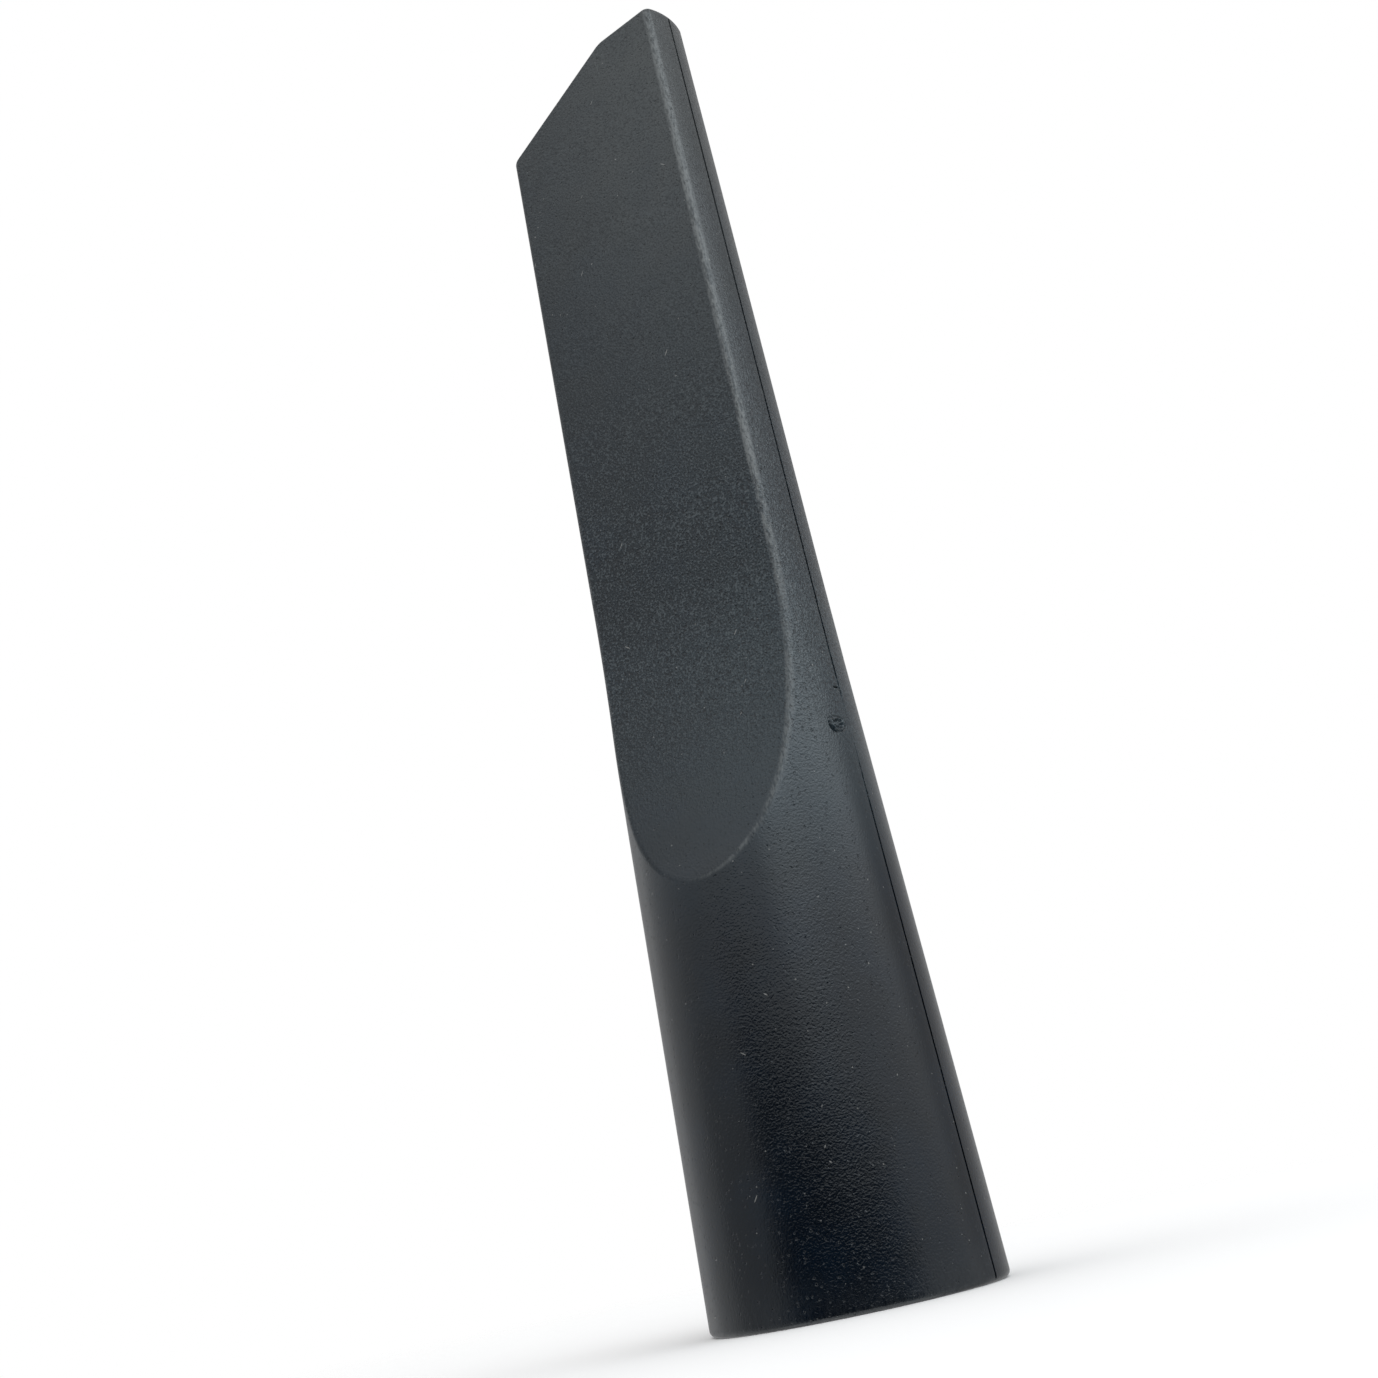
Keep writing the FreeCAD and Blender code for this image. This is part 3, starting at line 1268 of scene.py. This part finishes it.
    def on_long_side(self, point: Vector) -> bool:
        """Tell whether a point is on the long side's outer skin."""
        return point.x >= 0.0 and self.skin_at(point) is Skin.OUTER

    def stamp_gate(self, bm: bmesh.types.BMesh) -> None:
        """Raise the gate mark's ragged ring and press in the nick above it.

        Args:
            bm: The mesh.
        """
        near = []
        for face in bm.faces:
            middle = face.calc_center_median()
            if self.on_long_side(middle) and self.at_marks(middle):
                near += face.edges
        edges = list(dict.fromkeys(near))
        bmesh.ops.subdivide_edges(bm, edges=edges, cuts=self.fine_cuts, use_grid_fill=True)
        for vert in bm.verts:
            if not self.on_long_side(vert.co):
                continue
            rise = self.gate_shape(*self.gate_offset(vert.co)) - self.nick_shape(vert.co)
            if rise:
                across = hypot(vert.co.x, vert.co.y)
                vert.co.x *= 1.0 + rise / across
                vert.co.y *= 1.0 + rise / across

    def gate_shape(self, across: float, up: float) -> float:
        """Give the height of the gate mark's ring and of the torn grooves in and beside it.

        Args:
            across: Distance round the tube from its middle, as a share of its half width.
            up: Distance up the tube from its middle, as a share of its half height.

        Returns:
            The height above the wall, in millimetres.
        """
        out, angle = hypot(across, up), atan2(up, across)
        if out > self.gate_reach:
            return 0.0
        ragged = 1.0 + sum(ripple.at(angle) for ripple in self.gate_ragged)
        out *= 1.0 + sum(ripple.at(angle) for ripple in self.gate_bent)
        torn = self.torn_all_round
        for toward in self.torn_toward:
            torn += max(0.0, cos(angle - radians(toward))) ** 3
        height = ragged * self.gate_ring.at(out) + torn * self.gate_groove.at(out)
        return self.gate_rise * (height + self.gate_well.at(out))

    def nick_shape(self, point: Vector) -> float:
        """Give the depth of the nick that runs into the parting line.

        Args:
            point: A point on the outer skin, in millimetres.

        Returns:
            The depth below the wall, in millimetres.
        """
        along, up = -point.y / self.nick_length, point.z - self.nick_height
        if not 0.0 < along < 1.0 or abs(up) > self.nick_reach:
            return 0.0
        across = exp(-((up / self.nick_half_height) ** 4))
        return self.nick_depth * across * min(1.0, self.nick_ends * sin(pi * along))

    def mark_wear_and_highlight(self, bm: bmesh.types.BMesh) -> None:
        """Note on every point how exposed it is to rubbing, and how much painted highlight the long
        edge's round gets.

        Args:
            bm: The mesh, in millimetres.
        """
        layer = bm.verts.layers.float.new(WEAR_AND_HIGHLIGHT)
        outer = self.skins[Skin.OUTER]
        for vert in bm.verts:
            if self.skin_at(vert.co) is Skin.INNER and vert.co.z < self.length / 2:
                continue
            exposed = 0.0
            if vert.co.z > self.ramp_start - self.spare:
                off, _, on_round = outer.nearest(vert.co)
                if off > -self.wear.skin:
                    # The long edge's round: real rubbing plus a painted highlight.
                    exposed = self.wear.on_edge(vert.co, on_round)
            lip = max(0.0, 1.0 - self.mouth.below(vert.co) / (self.lip_share * self.lip_round))
            rim = self.wear.rim * max(0.0, 1.0 - vert.co.z / self.wear.rim_height)
            vert[layer] = max(exposed, lip, rim)

    def dress(self, piece: bpy.types.Object, finish: BlackPlastic) -> None:
        """Give the moulding its finish and set it on the frame.

        Args:
            piece: The moulding.
            finish: Its finish.
        """
        piece.data.materials.append(finish.make())
        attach(piece, BODY)
        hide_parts(NODE)


@dataclass(frozen=True)
class PhotoCamera:
    """The photograph's viewpoint, in millimetres and degrees."""

    place: tuple[float, float, float] = (123.93, -221.39, 12.92)
    pan: float = 30.36
    tilt: float = 15.25
    roll: float = -11.95
    lens: float = 50.94
    sensor: float = 36.0
    clip_start: float = 10.0

    def build(self) -> bpy.types.Object:
        """Set the camera up.

        Returns:
            The camera.
        """
        data = bpy.data.cameras.new("photo_camera")
        data.lens, data.sensor_width = self.lens, self.sensor
        data.clip_start = self.clip_start * MM
        camera = bpy.data.objects.new("photo_camera", data)
        aim = Matrix.Rotation(radians(self.pan), 4, "Z")
        aim @= Matrix.Rotation(radians(90.0 + self.tilt), 4, "X")
        aim @= Matrix.Rotation(radians(self.roll), 4, "Z")
        camera.matrix_world = Matrix.Translation(Vector(self.place) * MM) @ aim
        bpy.context.scene.collection.objects.link(camera)
        bpy.context.scene.camera = camera
        return camera


@dataclass(frozen=True)
class DarkPanel:
    """A soft-edged dark stretch of the surround, in degrees.

    It covers its share in full up to one half width and is gone at the other. It reaches from
    its foot to its rise, and its top edge is higher towards the tilt's bearing.
    """

    bearing: float
    full: float
    fade: float
    rise: float
    soft: float
    share: float
    tilt: float = 0.0
    tilt_bearing: float = 0.0
    foot: float = -60.0


@dataclass(frozen=True)
class Studio:
    """A white room with a pale floor, a soft box and a dark surround, in metres and degrees.

    A bearing is 0 in front of the tool and grows towards its long side.
    """

    room_level: float = 1.0
    segments: int = 96
    floor_radius: float = 0.30
    floor_solid: float = 0.35
    floor_white: float = 0.92
    box_bearing: float = 78.0
    box_height: float = 26.0
    box_distance: float = 0.8
    box_width: float = 2.2
    box_tall: float = 0.6
    box_middle: float = 0.09
    box_level: float = 1.85
    box_soft: float = 0.42
    box_colour: tuple[float, float, float] = (0.93, 1.0, 1.05)
    surround_radius: float = 0.8
    surround_foot: float = -1.2
    surround_top: float = 1.6
    surround_colour: Colour = (0.012, 0.016, 0.022, 1.0)
    panels: tuple[DarkPanel, ...] = (
        DarkPanel(
            25.0, full=30.0, fade=80.0, rise=8.5, soft=3.5, share=1.0, tilt=5.0, tilt_bearing=-60.0
        ),
        DarkPanel(-48.0, full=12.0, fade=40.0, rise=13.0, soft=4.0, share=0.56),
        DarkPanel(-75.0, full=30.0, fade=56.0, rise=20.0, soft=6.0, share=0.34),
        DarkPanel(-62.0, full=26.0, fade=38.0, rise=38.0, soft=4.0, share=0.42, foot=20.0),
        DarkPanel(-32.0, full=14.0, fade=34.0, rise=26.0, soft=4.0, share=0.30, foot=19.0),
        DarkPanel(-95.0, full=30.0, fade=60.0, rise=50.0, soft=8.0, share=0.60, foot=22.0),
        DarkPanel(-110.0, full=45.0, fade=75.0, rise=16.0, soft=6.0, share=0.40),
        DarkPanel(110.0, full=30.0, fade=60.0, rise=5.0, soft=4.0, share=0.35),
        DarkPanel(190.0, full=45.0, fade=72.0, rise=50.0, soft=10.0, share=0.62),
    )

    def build(self) -> None:
        """Set up the room, the floor, the soft box and the dark surround."""
        self.light_room()
        self.lay_floor()
        self.stand_surround()
        self.hang_soft_box()

    def toward(self, bearing: float, height: float) -> Vector:
        """Give a direction from the tool.

        Args:
            bearing: Its bearing.
            height: Its height above the horizon.

        Returns:
            The direction.
        """
        turn, rise = radians(bearing), radians(height)
        return Vector((sin(turn) * cos(rise), -cos(turn) * cos(rise), sin(rise)))

    def light_room(self) -> None:
        """Light the room evenly from all sides with white."""
        world = bpy.data.worlds.new("white_room")
        world.use_nodes = True
        bench = NodeBench(world.node_tree)
        white = bench.add("Background")
        bench.feed(white, Color=(1.0, 1.0, 1.0, 1.0), Strength=self.room_level)
        bench.feed(bench.add("OutputWorld"), Surface=white.outputs[0])
        bpy.context.scene.world = world

    def stage_piece(self, name: str, bm: bmesh.types.BMesh) -> bpy.types.Object:
        """Turn a mesh into an object of the stage.

        Args:
            name: Its name.
            bm: Its mesh, which is freed.

        Returns:
            The object, with an empty material.
        """
        piece = mesh_object(name, bm)
        material = bpy.data.materials.new(name)
        material.use_nodes = True
        piece.data.materials.append(material)
        return piece

    def paint_faded(self, bench: NodeBench, colour: Colour, cover: Socket) -> None:
        """Paint a matt colour that lets the room through where it fades.

        Args:
            bench: The material's nodes.
            colour: The colour.
            cover: How much of the colour shows.
        """
        surface = bench.feed(bench.add("BsdfDiffuse"), Color=colour)
        blend = bench.add("MixShader")
        shown = (cover, bench.add("BsdfTransparent").outputs[0], surface.outputs[0])
        for socket, value in zip(blend.inputs, shown):
            bench.plug(socket, value)
        bench.feed(bench.add("OutputMaterial"), Surface=blend.outputs[0])

    def lay_floor(self) -> bpy.types.Object:
        """Lay the pale floor, which fades into the white room.

        Returns:
            The floor.
        """
        bm = bmesh.new()
        bmesh.ops.create_circle(bm, cap_ends=True, radius=self.floor_radius, segments=self.segments)
        floor = self.stage_piece("pale_floor", bm)
        bench = NodeBench(floor.active_material.node_tree)
        out = bench.add("VectorMath", operation="LENGTH")
        bench.feed(out, Vector=bench.place())
        cover = bench.ramp(out.outputs["Value"], self.floor_radius, self.floor_radius * self.floor_solid)
        self.paint_faded(bench, (self.floor_white, self.floor_white, self.floor_white, 1.0), cover)
        floor.visible_glossy = False
        return floor

    def reach(self, bench: NodeBench, parts: bpy.types.Node, bearing: float) -> Socket:
        """Measure how far a place lies out on a bearing.

        Args:
            bench: The material's nodes.
            parts: The place, split into X, Y and Z.
            bearing: The bearing.

        Returns:
            The distance in metres, negative behind the tool.
        """
        ahead = self.toward(bearing, 0.0)
        across = bench.times(parts.outputs["X"], ahead.x)
        return bench.math("MULTIPLY_ADD", parts.outputs["Y"], ahead.y, across)

    def level(self, height: float) -> float:
        """Give the height on the surround's wall of an angle above the horizon."""
        return self.surround_radius * tan(radians(height))

    def panel_cover(self, bench: NodeBench, parts: bpy.types.Node, panel: DarkPanel) -> Socket:
        """Fade one dark panel in on the surround.

        Args:
            bench: The material's nodes.
            parts: The place, split into X, Y and Z.
            panel: The panel.

        Returns:
            How much the panel covers.
        """
        radius = self.surround_radius
        out = self.reach(bench, parts, panel.bearing)
        across = bench.ramp(out, radius * cos(radians(panel.fade)), radius * cos(radians(panel.full)))
        raised = self.reach(bench, parts, panel.tilt_bearing)
        height = bench.math("MULTIPLY_ADD", raised, -tan(radians(panel.tilt)), parts.outputs["Z"])
        rise, foot, soft = panel.rise, panel.foot, panel.soft
        below_top = bench.ramp(height, self.level(rise + soft), self.level(rise - soft))
        above_foot = bench.ramp(height, self.level(foot - soft), self.level(foot + soft))
        return bench.times(across, below_top, above_foot, panel.share)

    def stand_surround(self) -> bpy.types.Object:
        """Stand a surround round the tool, with dark panels for the plastic to mirror.

        Returns:
            The surround.
        """
        bm = bmesh.new()
        bmesh.ops.create_cone(
            bm,
            segments=self.segments,
            radius1=self.surround_radius,
            radius2=self.surround_radius,
            depth=self.surround_top - self.surround_foot,
        )
        middle = (self.surround_top + self.surround_foot) / 2
        bmesh.ops.translate(bm, vec=(0.0, 0.0, middle), verts=bm.verts)
        surround = self.stage_piece("dark_surround", bm)
        bench = NodeBench(surround.active_material.node_tree)
        parts = bench.split(bench.place())
        cover = self.panel_cover(bench, parts, self.panels[0])
        for panel in self.panels[1:]:
            cover = bench.math("MAXIMUM", cover, self.panel_cover(bench, parts, panel))
        self.paint_faded(bench, self.surround_colour, cover)
        surround.visible_camera = False
        surround.visible_diffuse = False
        return surround

    def hang_soft_box(self) -> bpy.types.Object:
        """Hang the soft box beside the tool's long side.

        Returns:
            The light.
        """
        data = bpy.data.lights.new("soft_box", "AREA")
        data.shape = "RECTANGLE"
        data.size, data.size_y = self.box_width, self.box_tall
        data.energy = pi * self.box_width * self.box_tall * self.box_level
        data.color = self.box_colour
        data.use_nodes = True
        bench = NodeBench(data.node_tree)
        spot = bench.split(bench.add("NewGeometry").outputs["Parametric"])
        glow = bench.add("Emission")
        edges = []
        for side in ("X", "Y"):
            inward = bench.math("PINGPONG", spot.outputs[side], 0.5)
            edges.append(bench.ramp(inward, 0.0, self.box_soft))
        bench.feed(glow, Strength=bench.times(*edges))
        bench.feed(bench.add("OutputLight"), Surface=glow.outputs[0])
        box = bpy.data.objects.new("soft_box", data)
        away = self.toward(self.box_bearing, self.box_height)
        box.location = away * self.box_distance + Vector((0.0, 0.0, self.box_middle))
        box.rotation_mode = "QUATERNION"
        box.rotation_quaternion = away.to_track_quat("Z", "Y")
        box.visible_camera = False
        bpy.context.scene.collection.objects.link(box)
        return box


def mount_named(record: dict, name: str) -> dict:
    """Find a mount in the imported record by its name."""
    return next(mount for mount in record["mounts"] if mount["name"] == name)


def main() -> None:
    """Build the moulding around the frame, light it and aim the camera."""
    logging.basicConfig(level=logging.INFO, format="%(name)s: %(message)s")
    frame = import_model()
    low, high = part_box(NODE)
    socket = mount_named(frame["record"], "socket")
    tool = CreviceTool(
        socket_radius=socket["dims"]["r_mm"],
        length=(high.z - low.z) / MM,
    )
    piece = tool.build()
    tool.dress(piece, BlackPlastic())
    log.info("%s: %d faces", piece.name, len(piece.data.polygons))
    Studio().build()
    PhotoCamera().build()
    bpy.context.scene.view_settings.view_transform = "Standard"


if __name__ == "__main__":
    main()
